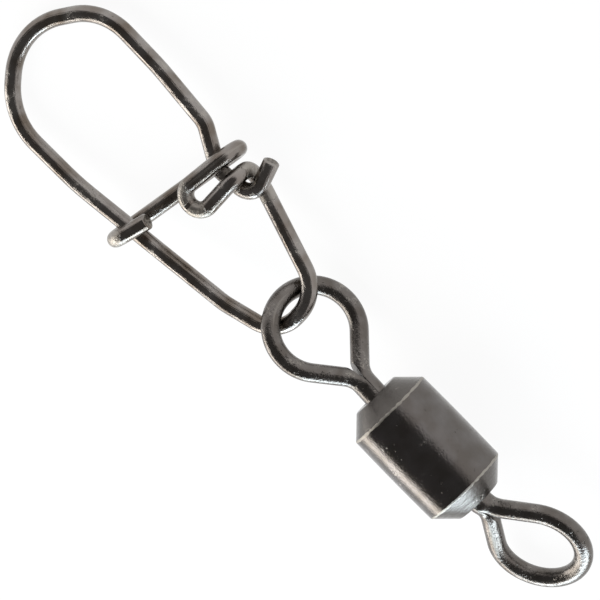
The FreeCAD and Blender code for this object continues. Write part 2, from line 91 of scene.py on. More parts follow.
# %% Sizes of the snap
# Its wire lies in layers one pitch apart, so that a fold clears the wire it goes over
SNAP = dict(
    wire=0.69, layer_gap=0.04, roll=-0.9, turn=2.5, link_slack=0.23, link_side=-0.15, link_gap=0.13,
    toe_low=1.23, toe_high=1.29, side_start=2.52, side_start_low=1.95, side_end=10.309,
    side_end_low=2.94, length=16.45, tip_high=0.16, low_corner=14.25, low_corner_low=3.00,
    high_corner=14.17, high_corner_up=3.38, limb_mid=10.888, limb_mid_up=3.31, limb_drop=8.00,
    limb_drop_up=3.04, lock_in=6.39, lock_in_up=2.01, curl_root=4.47, curl_root_up=2.22,
    curl_end=4.94, curl_end_up=3.92, back_start=4.31, back_start_up=2.45, lock=5.49,
    tongue_near=5.52, tongue_far=6.78, tongue_low=0.38, tongue_top=6.33, tongue_top_up=3.23,
    hook=7.70, hook_front=7.54, hook_end=6.99, hook_end_low=1.48)
PITCH = SNAP["wire"] + SNAP["layer_gap"]


def height_between(along, start, start_up, finish, finish_up):
    """Height of a straight run at a distance along it."""
    return start_up + (along - start) / (finish - start) * (finish_up - start_up)


fold_up = PITCH + height_between(
    SNAP["lock"], SNAP["curl_root"], SNAP["curl_root_up"], SNAP["lock_in"], SNAP["lock_in_up"])
hook_low = PITCH + height_between(
    SNAP["hook"], SNAP["side_start"], SNAP["side_start_low"],
    SNAP["side_end"], SNAP["side_end_low"])

# Corners of the centre line (along, across, layer) and the radius that each is bent to
SNAP_ROUTE = [
    ((-SNAP["curl_end"], SNAP["curl_end_up"], SNAP["layer_gap"]), 0),
    ((-SNAP["curl_root"], SNAP["curl_root_up"], 0), 0.61),
    ((-SNAP["lock_in"], SNAP["lock_in_up"], 0), 0.79),
    ((-SNAP["limb_drop"], SNAP["limb_drop_up"], 0), 1.07),
    ((-SNAP["limb_mid"], SNAP["limb_mid_up"], 0), 12.0),
    ((-SNAP["high_corner"], SNAP["high_corner_up"], 0), 2.58),
    ((-SNAP["length"], SNAP["tip_high"], 0), 2.84),
    ((-SNAP["low_corner"], -SNAP["low_corner_low"], 0), 2.85),
    ((-SNAP["side_end"], -SNAP["side_end_low"], 0), 12.0),
    ((-SNAP["side_start"], -SNAP["side_start_low"], 0), 3.0),
    ((0, -SNAP["toe_low"], 0), 1.53),
    ((0, SNAP["toe_high"], 0), 1.53),
    ((-SNAP["back_start"], SNAP["back_start_up"], -PITCH), 4.0),
    ((-SNAP["lock"], fold_up, -PITCH), PITCH),
    ((-SNAP["lock"], fold_up, PITCH), PITCH),
    ((-SNAP["tongue_near"], SNAP["tongue_low"], PITCH), 0.56),
    ((-SNAP["tongue_far"], SNAP["tongue_low"], PITCH), 0.56),
    ((-SNAP["tongue_top"], SNAP["tongue_top_up"], PITCH), PITCH),
    ((-SNAP["tongue_top"], SNAP["tongue_top_up"], -PITCH), PITCH),
    ((-SNAP["hook"], -hook_low, -PITCH), PITCH),
    ((-SNAP["hook_front"], -hook_low, PITCH), PITCH),
    ((-SNAP["hook_end"], -SNAP["hook_end_low"], PITCH), 0),
]
print("snap route:", len(SNAP_ROUTE), "corners")

# %% [markdown]
# ## Where the pieces lie
# The swivel lies on a table as it comes to rest. Its barrel lies level along X. The snap pulls one
# eye out until its head bears, and the other eye is pushed in and dips until its ring nearly
# touches the table. The same rules place the solids, so they are worked out here from the sizes
# again.

# %% Places of the eyes and the snap
low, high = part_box("barrel")
barrel_middle = (low + high) / 2
in_metres = Matrix.Translation(barrel_middle) @ Matrix.Scale(MM, 4)


def standing(axis, across, origin):
    """Matrix with X along an axis and Y as near as it can be to across."""
    axis = axis.normalized()
    across = (across - axis * across.dot(axis)).normalized()
    place = Matrix((axis, across, axis.cross(across))).transposed().to_4x4()
    place.translation = origin
    return place


def eye_place(side, spin, lean, dip, slack):
    """An eye leans about the middle of its end hole."""
    axis = Vector((side, math.tan(math.radians(lean)), math.tan(math.radians(dip)))).normalized()
    across = Vector((0, math.cos(math.radians(spin)), math.sin(math.radians(spin))))
    inside = hole_middle - (seated - slack)
    return standing(axis, across, Vector((side * hole_middle, 0, 0)) - axis * inside)


crossing = (EYE["wire"] + SNAP["wire"]) / 2 + SNAP["link_gap"]
snap_eye_spin = SNAP["roll"] - math.degrees(
    math.asin(crossing / ((SNAP["toe_low"] + SNAP["toe_high"]) / 2)))
snap_eye_place = eye_place(-1, snap_eye_spin, SNAP_EYE_LIE["lean"], -SNAP_EYE_LIE["dip"], 0)

# The line eye dips until the lowest point of its ring is just over the table
ring = EYE["ring_radius"]
rolled = math.sin(math.radians(LINE_EYE_LIE["spin"]))
arm = ring_reach - (hole_middle - seated + LINE_EYE_LIE["slack"])
fall = (BARREL["dia"] - EYE["wire"]) / 2 - LINE_EYE_LIE["floor_gap"]
square = arm ** 2 - (1 - rolled ** 2) * ring ** 2
level = fall ** 2 - (rolled * ring) ** 2
dip = -math.degrees(
    math.asin((fall * arm - math.sqrt((fall * arm) ** 2 - square * level)) / square))
line_eye_place = eye_place(
    1, LINE_EYE_LIE["spin"], LINE_EYE_LIE["lean"], dip, LINE_EYE_LIE["slack"])
print("snap's eye rolled", round(snap_eye_spin, 1), "degrees")
print("line eye dips", round(-dip, 1), "degrees")

# %% [markdown]
# ## Bending wire by hand
# A wire is a round cut face that is drawn along its route. In Blender that is one filled circle,
# extruded for each straight run and spun round the inside of each bend. Spin turns the selected
# face about a centre and leaves the new end face selected, ready for the next run, as a
# wire-bending machine feeds and turns. A curve with a round bevel would be quicker, but it pinches
# at tight bends, and its end can't be worked as a face.
# Blender's mesh tools weld points that are nearer than a tenth of a millimetre. So each piece is
# modelled with one unit for a millimetre, and shrunk to metres when it is put in place.

# %% Runs and bends of a route
def runs_and_bends(route):
    """Split a route into straight runs and arcs, in order.

    A run is ("run", start, finish). A bend is ("bend", centre, axis, angle, start)."""
    places = [Vector(place) for place, _ in route]
    steps = []
    start = places[0]
    for before, at, after, (_, radius) in zip(places, places[1:], places[2:], route[1:]):
        arriving = (at - before).normalized()
        leaving = (after - at).normalized()
        angle = arriving.angle(leaving)
        reach = radius * math.tan(angle / 2)
        axis = arriving.cross(leaving).normalized()
        arc_start = at - arriving * reach
        steps.append(("run", start, arc_start))
        steps.append(("bend", arc_start + axis.cross(arriving) * radius, axis, angle, arc_start))
        start = at + leaving * reach
    steps.append(("run", start, places[-1]))
    return steps


def step_length(step):
    """Length of a run, or of a bend's centre line."""
    if step[0] == "run":
        return (step[2] - step[1]).length
    return step[3] * (step[4] - step[1]).length


snap_steps = runs_and_bends(SNAP_ROUTE)
turned = sum(math.degrees(step[3]) for step in snap_steps if step[0] == "bend")
print("the snap's wire turns through", round(turned), "degrees in all")
print("the snap's wire is", round(sum(map(step_length, snap_steps)), 1), "mm long")

# %% Moves of the selected end
FEWEST_STEPS = 3


def draw_out(move):
    """Extrude what is selected in a straight line."""
    bpy.ops.mesh.extrude_region_move(
        TRANSFORM_OT_translate={"value": move, "orient_type": "GLOBAL"})


def bend_round(centre, axis, angle, fineness):
    """Spin what is selected round the inside of a bend."""
    count = max(FEWEST_STEPS, math.ceil(math.degrees(angle) / fineness))
    bpy.ops.mesh.spin(steps=count, angle=-angle, center=centre, axis=axis, use_auto_merge=False)


def swell(factors, centre):
    """Scale what is selected about a point."""
    bpy.ops.transform.resize(value=factors, center_override=centre, orient_type="GLOBAL")


# %% Select by place, and start a wire
def pick(piece, chosen, kind="VERT"):
    """Select the points or faces of the piece being edited that a rule chooses by place."""
    bpy.ops.mesh.select_mode(type=kind)
    bpy.ops.mesh.select_all(action="DESELECT")
    bpy.ops.object.mode_set(mode="OBJECT")
    items = piece.data.vertices if kind == "VERT" else piece.data.polygons
    for item in items:
        item.select = chosen(item)
    found = sum(item.select for item in items)
    bpy.ops.object.mode_set(mode="EDIT")
    return found


def start_disc(name, radius, at, facing, sides, fill):
    """Add a circle square to a direction, name it and open it for editing."""
    bpy.ops.object.select_all(action="DESELECT")
    bpy.ops.mesh.primitive_circle_add(
        vertices=sides, radius=radius, fill_type=fill, location=at,
        rotation=Vector(facing).to_track_quat("Z", "Y").to_euler())
    piece = bpy.context.object
    piece.name = piece.data.name = name
    bpy.ops.object.transform_apply(location=True, rotation=True, scale=True)
    bpy.ops.object.mode_set(mode="EDIT")
    bpy.ops.mesh.select_all(action="SELECT")
    return piece


# %% Finish and place a piece
def apply_modifier(piece, kind, **settings):
    """Add a modifier with these settings and apply it."""
    modifier = piece.modifiers.new(kind.lower(), kind)
    for name, value in settings.items():
        setattr(modifier, name, value)
    bpy.ops.object.modifier_apply(modifier=modifier.name)


def close_up(piece, smooth_under):
    """Weld doubles, turn the faces outwards, smooth the shading and leave edit mode."""
    bpy.ops.object.mode_set(mode="EDIT")
    bpy.ops.mesh.select_mode(type="VERT")
    bpy.ops.mesh.select_all(action="SELECT")
    bpy.ops.mesh.remove_doubles(threshold=TOUCH)
    bpy.ops.mesh.normals_make_consistent(inside=False)
    bpy.ops.mesh.select_all(action="DESELECT")
    bpy.ops.mesh.select_non_manifold()
    bpy.ops.object.mode_set(mode="OBJECT")
    print(piece.name, "open edges:", sum(edge.select for edge in piece.data.edges))
    bpy.ops.object.shade_smooth_by_angle(angle=math.radians(smooth_under))


def settle(piece, place, body):
    """Put a finished piece in its node's place, in metres, and compare their boxes."""
    piece.matrix_world = in_metres @ place
    bpy.ops.object.transform_apply(location=True, rotation=True, scale=True)
    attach(piece, body)
    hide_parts(body)
    corners = [piece.matrix_world @ v.co for v in piece.data.vertices]
    low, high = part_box(body)
    off = [
        max(abs(min(c[k] for c in corners) - low[k]),
            abs(max(c[k] for c in corners) - high[k])) / MM
        for k in range(3)]
    triangles = sum(len(face.vertices) - 2 for face in piece.data.polygons)
    print(piece.name, triangles, "triangles")
    print("its box is off its node's by", [round(v, 3) for v in off], "mm")


# %% [markdown]
# ## Where a point is on its wire
# Drawing a wire through a die leaves lines along it, and they bend with the wire. A pattern on
# plain object coordinates would run straight through the bends. So each point of a wire also keeps
# where it would be if the wire were straightened: how far along, and where in its round section.
# The finish reads that as an attribute.

# %% Straighten the coordinates
def straightened(point, steps):
    """Distance along a route, and the two offsets in its section, of a point near it."""
    best = None
    length = 0.0
    frame_out = None
    for step in steps:
        if step[0] == "run":
            start, finish = step[1], step[2]
            run = finish - start
            along = run.normalized()
            if frame_out is None:
                frame_out = along.orthogonal().normalized()
            reach = min(max((point - start).dot(along), 0.0), run.length)
            offset = point - start - along * reach
            found = (offset.length, length + reach, offset.dot(frame_out),
                     offset.dot(along.cross(frame_out)))
        else:
            centre, axis, angle, start = step[1:]
            spoke = start - centre
            radius = spoke.length
            tangent = axis.cross(spoke).normalized()
            local = point - centre
            turn = math.atan2(local.dot(tangent), local.dot(spoke) / radius)
            if turn < -math.pi / 2:
                turn += 2 * math.pi
            turn = min(max(turn, 0.0), angle)
            at = centre + (spoke * math.cos(turn) + tangent * radius * math.sin(turn))
            along = axis.cross(at - centre).normalized()
            out = frame_out.copy()
            out.rotate(Matrix.Rotation(turn, 3, axis))
            offset = point - at
            found = (offset.length, length + radius * turn, offset.dot(out),
                     offset.dot(along.cross(out)))
            frame_out.rotate(Matrix.Rotation(angle, 3, axis))
        length += step_length(step)
        if best is None or found[0] < best[0]:
            best = found
    return best[1:]


def keep_straightened(piece, steps, mirrored=False):
    """Store the straightened coordinates, in millimetres, as the attribute on_wire.

    The steps of a mirrored piece are half its wire, and the other half goes on from their end."""
    half = sum(step_length(step) for step in steps)
    store = piece.data.attributes.new("on_wire", "FLOAT_VECTOR", "POINT")
    for vertex, item in zip(piece.data.vertices, store.data):
        point = vertex.co.copy()
        far_half = mirrored and point.y < 0
        if far_half:
            point.y = -point.y
        along, across, up = straightened(point, steps)
        item.vector = (2 * half - along if far_half else along, across, up)


# %% [markdown]
# ## The snap
# One wire of 0.69 mm makes the whole snap. From its curled end it runs round the far loop, down the
# long side, round the small end, folds over itself behind and in front, drops into a small tongue,
# crosses behind as a bar and hooks over the long side. Pressing the hook off the long side opens
# it. It is drawn here as one wire, from the curled end to the hook, and both ends keep the dished
# face and rolled rim that the cutter leaves.

# %% Draw the snap's wire
SNAP_SIDES = 44
DEGREES_A_STEP = 4.0
SHORTEST_RUN = 1e-4
CUT_ROUND = 0.035

first, last = snap_steps[0], snap_steps[-1]
snap_radius = SNAP["wire"] / 2
start_along = (first[2] - first[1]).normalized()
snap = start_disc("snap_wire", snap_radius, first[1] + start_along * CUT_ROUND, -start_along,
                  SNAP_SIDES, "NGON")
bpy.ops.mesh.select_mode(type="FACE")
bpy.ops.mesh.select_all(action="SELECT")
for number, step in enumerate(snap_steps):
    if step[0] == "bend":
        bend_round(step[1], step[2], step[3], DEGREES_A_STEP)
    else:
        run = step[2] - step[1]
        if number == 0:
            run -= start_along * CUT_ROUND
        if step is last:
            run -= run.normalized() * CUT_ROUND
        if run.length > SHORTEST_RUN:
            draw_out(run)
print("the snap's wire has", len(snap_steps), "runs and bends")

# %% Cut its ends
RIM_STEPS = [(0.6, 0.965), (0.4, 0.93)]        # share of the rounding drawn out, then the scale
DISH_STEPS = [(0.16, -0.8), (0.3, 0.25)]       # inset by the radius, depth by the rounding
DISC_NEAR = 0.02
SNAP_SMOOTH_UNDER = 50


def cut_end(middle, outwards, radius):
    """Turn a flat end into a cut one: a rolled rim round a face that is dished a little."""
    bpy.ops.mesh.select_mode(type="FACE")
    drawn = 0.0
    for share, scale in RIM_STEPS:
        drawn += share
        draw_out(outwards * CUT_ROUND * share)
        swell((scale,) * 3, middle + outwards * CUT_ROUND * drawn)
    for share, depth in DISH_STEPS:
        bpy.ops.mesh.inset(thickness=radius * share, depth=CUT_ROUND * depth)


def on_disc(middle, facing):
    """A rule that picks the flat face at one end of the wire."""
    return lambda face: ((face.center - middle).length < DISC_NEAR
                         and abs(face.normal.dot(facing)) > FACE_ON)


end_along = (last[2] - last[1]).normalized()
cut_end(last[2] - end_along * CUT_ROUND, end_along, snap_radius)
curl_face = first[1] + start_along * CUT_ROUND
print("faces at the curled end:", pick(snap, on_disc(curl_face, start_along), "FACE"))
cut_end(curl_face, -start_along, snap_radius)
close_up(snap, SNAP_SMOOTH_UNDER)
print("snap:", len(snap.data.vertices), "points")

# %% Place the snap
inset = crossing - SNAP["link_gap"] + SNAP["link_slack"]
link = snap_eye_place @ Vector((ring_reach + ring - inset, SNAP["link_side"], 0))
far_reach = -min(v.co.x for v in snap.data.vertices)
droop = math.asin((link.z + (BARREL["dia"] - SNAP["wire"]) / 2) / far_reach)
snap_place = (
    Matrix.Translation(link)
    @ Matrix.Rotation(math.radians(SNAP["turn"]), 4, "Z")
    @ Matrix.Rotation(-droop, 4, "Y")
    @ Matrix.Rotation(math.radians(SNAP["roll"]), 4, "X"))
keep_straightened(snap, snap_steps)
settle(snap, snap_place, "snap")

# %% [markdown]
# ## The eyes
# Each eye starts as a straight wire too. It is bent round a pin into a ring, its two legs are
# pressed flat against each other until both fit the barrel's end hole as one round shank, and the
# ends are upset into a head that can't come out again. So half an eye is modelled, its leg is
# pressed flat by scaling the points past the middle to a plane, and a mirror makes the other leg.
# The ring and the neck are spun. The change from round wire to half-round leg is a bridge between
# two circles, which takes up the twist and the taper by itself. Two bisects then cut the flat faces
# that the press leaves: one along the seam, and one that opens into the fork.

# %% Half the ring, and its neck
EYE_SIDES = 40
EYE_DEGREES_A_STEP = 3.0
NECK_SHARE = 0.45       # of the neck's bend, before the wire turns into a pressed leg
SLOPE_STEPS = 8
half_wire, half_shank = EYE["wire"] / 2, EYE["shank_dia"] / 2
slope_top = Vector((ring_reach - ring * math.sin(slope), ring * math.cos(slope), 0))
ring_middle = Vector((ring_reach, 0, 0))
half_ring = math.pi / 2 + slope


def spin_ring_and_neck():
    """Bend the circle at the ring's far side into half an eye, and say where it ends and faces."""
    bend_round(ring_middle, Vector((0, 0, 1)), half_ring, EYE_DEGREES_A_STEP)
    reach = EYE["neck_radius"] * math.tan(slope / 2)
    bend_end = (Vector((corner, leg_off, 0))
                + Vector((math.cos(slope), math.sin(slope), 0)) * reach)
    for _ in range(SLOPE_STEPS):
        draw_out((bend_end - slope_top) / SLOPE_STEPS)
    centre = Vector((corner - reach, leg_off + EYE["neck_radius"], 0))
    bend_round(centre, Vector((0, 0, -1)), slope * NECK_SHARE, EYE_DEGREES_A_STEP)
    left = slope * (1 - NECK_SHARE)
    end_at = centre + Vector((math.sin(left), -math.cos(left), 0)) * EYE["neck_radius"]
    return end_at, Vector((math.cos(left), math.sin(left), 0))


print("half an eye's ring turns", round(math.degrees(half_ring), 1), "degrees")

# %% The pressed leg and its head
HEAD_TOP_SHARE = 0.86   # of the head's radius, and the upset head starts there
HEAD_TOP = EYE["head_dia"] / 2 * HEAD_TOP_SHARE
HEAD_STEPS = [
    (-0.30, 1.32), (-0.30, 1.24), (-0.45, 1.12), (-0.45, 0.96), (-0.28, 0.72), (-0.14, 0.6)]


def at_shank(vertex):
    """True for a point of the circle where the pressed leg starts."""
    return abs(vertex.co.x - shank) < TOUCH


def press_leg_and_head(eye):
    """Scale half a circle flat onto the middle plane, and draw the leg and the head out of it."""
    bpy.ops.mesh.select_all(action="DESELECT")
    bpy.ops.mesh.primitive_circle_add(
        vertices=EYE_SIDES, radius=half_shank, fill_type="NOTHING", location=(shank, 0, 0),
        rotation=(0, math.radians(-90), 0))
    pick(eye, lambda v: at_shank(v) and v.co.y < -TOUCH)
    swell((1, 0, 1), (shank, 0, 0))
    pick(eye, at_shank)
    draw_out((HEAD_TOP - shank, 0, 0))
    along = HEAD_TOP
    for move, factor in HEAD_STEPS:
        draw_out((move, 0, 0))
        along += move
        swell((1, factor, factor), (along, 0, 0))
    bpy.ops.mesh.edge_face_add()
    print(eye.name, "head ends at", round(along, 2), "mm")


# %% The bridge, the fork and the mirror
BRIDGE_CUTS = 8
END_NEAR = 0.01
IN_END_PLANE = 0.002
ON_PLANE = 1e-5
EYE_EDGE_ROUND = 0.045
EYE_SHARP = 40


def bridge_neck_to_leg(eye, end_at, facing):
    """Join the neck's last circle to the pressed leg's first one."""
    found = pick(eye, lambda v: at_shank(v) or (
        (v.co - end_at).length < half_wire + END_NEAR
        and abs((v.co - end_at).dot(facing)) < IN_END_PLANE))
    bpy.ops.mesh.bridge_edge_loops(
        number_cuts=BRIDGE_CUTS, interpolation="SURFACE", smoothness=1.0)
    print(eye.name, "points bridged:", found)


def press_flat(eye, near_end, far_end, at, normal):
    """Cut away what is past a plane, between two distances along the eye, and fill the cut."""
    pick(eye, lambda v: near_end < v.co.x < far_end)
    bpy.ops.mesh.bisect(plane_co=at, plane_no=normal, use_fill=True, clear_inner=True,
                        threshold=ON_PLANE)


def shape_eye(name):
    """Model one eye along X with its head at zero and its ring in the XY plane."""
    eye = start_disc(name, half_wire, (ring_reach + ring, 0, 0), (0, 1, 0), EYE_SIDES, "NOTHING")
    end_at, facing = spin_ring_and_neck()
    press_leg_and_head(eye)
    bridge_neck_to_leg(eye, end_at, facing)

    # The fork that opens between the legs, then the flat faces where they press on each other
    fork_start = shank + EYE["seam_out"]
    fork_end = fork_start + EYE["fork_length"] + half_wire
    opening = math.atan((EYE["fork_mouth"] - EYE["seam"]) / 2 / EYE["fork_length"])
    press_flat(eye, shank - END_NEAR, fork_end, (fork_start, EYE["seam"] / 2, 0),
               (-math.sin(opening), math.cos(opening), 0))
    press_flat(eye, -math.inf, fork_end, (0, EYE["seam"] / 2, 0), (0, 1, 0))
    bpy.ops.object.mode_set(mode="OBJECT")
    apply_modifier(eye, "BEVEL", width=EYE_EDGE_ROUND, segments=3, limit_method="ANGLE",
                   angle_limit=math.radians(EYE_SHARP))
    apply_modifier(eye, "MIRROR", use_axis=(False, True, False), merge_threshold=TOUCH)
    close_up(eye, EYE_SHARP)
    return eye


# %% Make both eyes
HEAD_END = -1.2
EYE_ROUTE = [
    ((HEAD_END, leg_off, 0), 0),
    ((corner, leg_off, 0), EYE["neck_radius"]),
    (slope_top, 0),
]
eye_steps = runs_and_bends(EYE_ROUTE)
eye_steps.append(("bend", ring_middle, Vector((0, 0, -1)), half_ring, eye_steps[-1][2]))

for name, place in (("snap_eye", snap_eye_place), ("line_eye", line_eye_place)):
    eye = shape_eye(name + "_wire")
    keep_straightened(eye, eye_steps, mirrored=True)
    settle(eye, place, name)

# %% [markdown]
# ## The barrel
# The barrel is a short tube whose ends are rolled in over the two heads. A cylinder is its blank:
# each end face is drawn out and scaled for the sloping shoulder, inset for the rim, and pushed back
# in for the end hole and the inside. The two inner faces are then bridged into one bore. A bevel
# breaks every turned edge, because metal has no sharp edge and the rounding is what catches light.

# %% Turn the barrel
BARREL_SIDES = 128
EDGE_ROUND = 0.05
EDGE_SHARP = 25
CROWN = 0.010

bpy.ops.object.select_all(action="DESELECT")
bpy.ops.mesh.primitive_cylinder_add(
    vertices=BARREL_SIDES, radius=BARREL["dia"] / 2, depth=BARREL["flank"], end_fill_type="NGON",
    rotation=(0, math.radians(90), 0))
barrel = bpy.context.object
barrel.name = barrel.data.name = "barrel_shell"
bpy.ops.object.transform_apply(location=True, rotation=True, scale=True)
bpy.ops.object.mode_set(mode="EDIT")
half_flank = BARREL["flank"] / 2

for side in (-1, 1):
    pick(barrel, lambda face: abs(face.center.x - side * half_flank) < TOUCH, "FACE")
    draw_out((side * BARREL["shoulder"], 0, 0))
    narrow = BARREL["rim_dia"] / BARREL["dia"]
    swell((1, narrow, narrow), (0, 0, 0))
    bpy.ops.mesh.inset(thickness=BARREL["rim_dia"] / 2 - end_hole)
    draw_out((-side * BARREL["land"], 0, 0))
    draw_out((-side * (land - inner_flank), 0, 0))
    swell((1, bore / end_hole, bore / end_hole), (0, 0, 0))

inner_faces = pick(barrel, lambda face: abs(abs(face.center.x) - inner_flank) < TOUCH
                   and abs(face.normal.x) > FACE_ON, "FACE")
bpy.ops.mesh.bridge_edge_loops()
print("inner faces bridged:", inner_faces)

# %% Crown the flank
FLANK_CUTS = 9
CUT_NEAR = 0.01
outer = bore + 0.1      # millimetres from the axis: what is past this is the outside
BARREL_SMOOTH_UNDER = 30


def along_flank(edge_ends):
    """True for an edge that runs the length of the barrel's outside."""
    one, other = edge_ends
    return abs(one.x - other.x) > half_flank and min(one.yz.length, other.yz.length) > outer


bpy.ops.mesh.select_mode(type="EDGE")
bpy.ops.mesh.select_all(action="DESELECT")
bpy.ops.object.mode_set(mode="OBJECT")
points = barrel.data.vertices
for edge in barrel.data.edges:
    edge.select = along_flank([points[k].co for k in edge.vertices])
bpy.ops.object.mode_set(mode="EDIT")
bpy.ops.mesh.subdivide(number_cuts=FLANK_CUTS)
for cut in range(FLANK_CUTS + 2):
    at = half_flank * (2 * cut / (FLANK_CUTS + 1) - 1)
    pick(barrel, lambda v: abs(v.co.x - at) < CUT_NEAR and v.co.yz.length > outer)
    narrow = 1 - CROWN * (at / half_flank) ** 2
    swell((1, narrow, narrow), (0, 0, 0))
bpy.ops.object.mode_set(mode="OBJECT")
apply_modifier(barrel, "BEVEL", width=EDGE_ROUND, segments=4, limit_method="ANGLE",
               angle_limit=math.radians(EDGE_SHARP))
close_up(barrel, BARREL_SMOOTH_UNDER)
settle(barrel, Matrix.Identity(4), "barrel")

# %% [markdown]
# ## Node groups for the finish
# Black nickel is a thin dark plating, and it shows every mark of the metal under it. What the marks
# look like depends on how a piece was made: a drawn wire has lines along it, a pressed one has fine
# pits, a turned one has rings. Each effect is one node group with a few named inputs. A group only
# puts out a height or a mask, and each material decides what to do with it.

# %% Small helpers for nodes
# Bare numbers in a group below are levels of a noise, which runs from 0 to 1 around 0.5
def link_or_set(tree, socket, value):
    """Link a socket to another node's output, or give it a plain value."""
    if isinstance(value, bpy.types.NodeSocket):
        tree.links.new(value, socket)
    else:
        socket.default_value = value


def add_node(tree, kind, inputs=(), **settings):
    """Add a shader node, set its options, and fill its inputs by name or number."""
    made = tree.nodes.new("ShaderNode" + kind)
    for name, value in settings.items():
        setattr(made, name, value)
    for name, value in dict(inputs).items():
        link_or_set(tree, made.inputs[name], value)
    return made


def work_out(tree, operation, one, other=0.0, clamp=False):
    """A Math node's result."""
    made = add_node(tree, "Math", {0: one, 1: other}, operation=operation, use_clamp=clamp)
    return made.outputs[0]


def ramp_between(tree, value, low, high, to_low=0.0, to_high=1.0):
    """Map a value between two limits smoothly onto two others."""
    made = add_node(tree, "MapRange", {
        "Value": value, "From Min": low, "From Max": high, "To Min": to_low, "To Max": to_high},
        interpolation_type="SMOOTHSTEP")
    return made.outputs["Result"]


def new_group(name, inputs, outputs):
    """Start a node group with float or vector inputs and float outputs."""
    group = bpy.data.node_groups.new(name, "ShaderNodeTree")
    for label, value in inputs.items():
        kind = "NodeSocketVector" if value is None else "NodeSocketFloat"
        socket = group.interface.new_socket(label, in_out="INPUT", socket_type=kind)
        if value is not None:
            socket.default_value = value
    for label in outputs:
        group.interface.new_socket(label, in_out="OUTPUT", socket_type="NodeSocketFloat")
    entry = group.nodes.new("NodeGroupInput")
    leave = group.nodes.new("NodeGroupOutput")
    return group, entry.outputs, leave.inputs


# %% Fine grain and pits
# Two noises: a fine one for the plating's grain, and the lowest spots of a coarser one for pits
BLEND = 0.1             # how much of a noise's level an edge takes to fade
PIT_HEIGHT = -0.7       # against 1 for the grain
grain_group, given, result = new_group(
    "grain_and_pits", {"Place": None, "Grain": 16.0, "Pits": 7.0, "Pit share": 0.35},
    ["Height", "Pit"])
fine = add_node(grain_group, "TexNoise", {
    "Vector": given["Place"], "Scale": given["Grain"], "Detail": 3.0, "Roughness": 0.65})
coarse = add_node(grain_group, "TexNoise", {
    "Vector": given["Place"], "Scale": given["Pits"], "Detail": 2.0, "Roughness": 0.55})
pit_rim = work_out(grain_group, "ADD", given["Pit share"], BLEND)
pit = ramp_between(grain_group, coarse.outputs[0], given["Pit share"], pit_rim, 1.0, 0.0)
link_or_set(grain_group, result["Pit"], pit)
deep = work_out(grain_group, "MULTIPLY", pit, PIT_HEIGHT)
link_or_set(grain_group, result["Height"], work_out(grain_group, "ADD", fine.outputs[0], deep))
print(grain_group.name, len(grain_group.nodes), "nodes")

# %% Lines along a drawn wire, or round a turned one
# The place is stretched, so that the noise runs far in one direction and changes fast in the others
SCRATCH_COARSER = 0.6
SCRATCH_FROM, SCRATCH_FULL = 0.66, 0.72
lines_group, given, result = new_group(
    "drawn_lines", {"Place": None, "Fineness": 9.0, "Length": 0.12}, ["Height", "Scratch"])
stretch = add_node(lines_group, "CombineXYZ", {0: given["Length"], 1: 1.0, 2: 1.0})
stretched = add_node(lines_group, "VectorMath", {0: given["Place"], 1: stretch.outputs[0]},
                     operation="MULTIPLY")
lines = add_node(lines_group, "TexNoise", {
    "Vector": stretched.outputs[0], "Scale": given["Fineness"], "Detail": 4.0, "Roughness": 0.7})
rare = add_node(lines_group, "TexNoise", {
    "Vector": stretched.outputs[0], "Detail": 1.0,
    "Scale": work_out(lines_group, "MULTIPLY", given["Fineness"], SCRATCH_COARSER)})
link_or_set(lines_group, result["Height"], lines.outputs[0])
link_or_set(lines_group, result["Scratch"], ramp_between(
    lines_group, rare.outputs[0], SCRATCH_FROM, SCRATCH_FULL))
print(lines_group.name, len(lines_group.nodes), "nodes")

# %% Handling marks
# Short dents and rubs: a broad noise that is only let through in a few places
MARK_FINER = 6.0
MARK_FROM, MARK_FULL = 0.48, 0.62
marks_group, given, result = new_group(
    "handling_marks", {"Place": None, "Scale": 1.1, "Share": 0.56}, ["Mark", "Tone"])
broad = add_node(marks_group, "TexNoise", {
    "Vector": given["Place"], "Scale": given["Scale"], "Detail": 2.0, "Roughness": 0.5})
broken = add_node(marks_group, "TexNoise", {
    "Vector": given["Place"], "Detail": 3.0, "Roughness": 0.6,
    "Scale": work_out(marks_group, "MULTIPLY", given["Scale"], MARK_FINER)})
where = ramp_between(marks_group, broad.outputs[0], given["Share"],
                     work_out(marks_group, "ADD", given["Share"], BLEND))
link_or_set(marks_group, result["Mark"], work_out(
    marks_group, "MULTIPLY", where,
    ramp_between(marks_group, broken.outputs[0], MARK_FROM, MARK_FULL)))
link_or_set(marks_group, result["Tone"], broad.outputs[0])
print(marks_group.name, len(marks_group.nodes), "nodes")

# %% Worn edges, with a painted highlight
# The turned edge between the flank and a shoulder is painted lighter in a thin broken line: partly
# worn plating, partly a painted highlight of the rounded edge. The second mask picks the shoulders
# beyond it, where the turning tool leaves deeper rings.
EDGE_CORE = 0.4         # of the rubbed width, and this part is rubbed all the way
NARROWEST, WIDEST = 0.5, 1.3
SHOULDER_FULL = 0.04
edge_group, given, result = new_group(
    "worn_and_highlit_edge", {"Place": None, "Edge at": 2.14, "Width": 0.07}, ["Mask", "Beyond"])
apart = add_node(edge_group, "SeparateXYZ", {0: given["Place"]})
along = work_out(edge_group, "ABSOLUTE", apart.outputs[0])
past = work_out(edge_group, "SUBTRACT", along, given["Edge at"])
broken = add_node(edge_group, "TexNoise", {"Vector": given["Place"], "Scale": 5.0, "Detail": 3.0})
reach = work_out(edge_group, "MULTIPLY", given["Width"],
                 ramp_between(edge_group, broken.outputs[0], 0.3, 0.7, NARROWEST, WIDEST))
core = work_out(edge_group, "MULTIPLY", reach, EDGE_CORE)
link_or_set(edge_group, result["Mask"], ramp_between(
    edge_group, work_out(edge_group, "ABSOLUTE", past), core, reach, 1.0, 0.0))
link_or_set(edge_group, result["Beyond"], ramp_between(edge_group, past, 0.0, SHOULDER_FULL))
